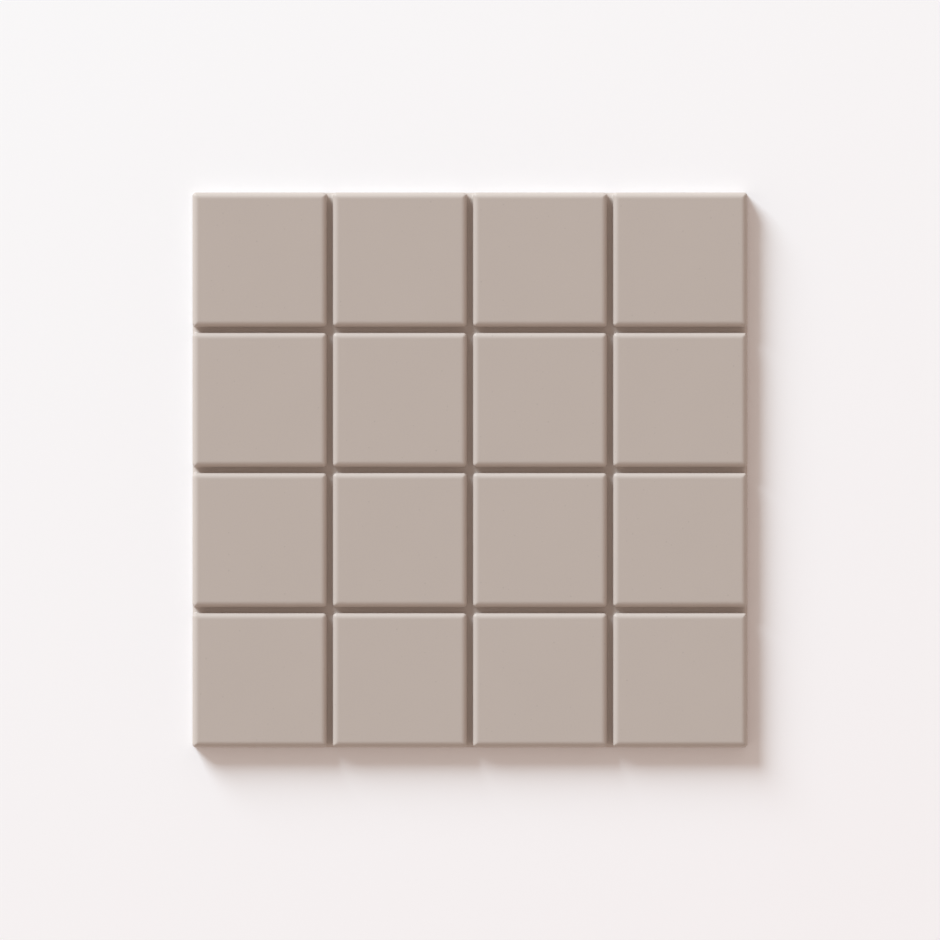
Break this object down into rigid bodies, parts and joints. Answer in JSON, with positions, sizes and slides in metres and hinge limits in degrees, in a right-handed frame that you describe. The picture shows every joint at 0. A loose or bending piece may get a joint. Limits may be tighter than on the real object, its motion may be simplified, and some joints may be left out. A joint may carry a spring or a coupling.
{
  "type": "mosaic tile",
  "caption": "Square ceramic mosaic tile: a flat body whose face is divided by recessed joints into a grid of raised square pads with rounded edges, for covering walls and floors.",
  "frame": {"origin": "centre of the flat back, on the floor the tile lies on", "axes": "+Z up out of the pads, +X and +Y along the two directions of the joints; in the picture +X points right and +Y points up"},
  "size_m": [0.3, 0.3, 0.01],
  "materials": {
    "taupe_ceramic": "matt, fine-grained, coloured through"
  },
  "bodies": {
    "root": {"mosaic_tile": "taupe_ceramic"}
  },
  "joints": []
}
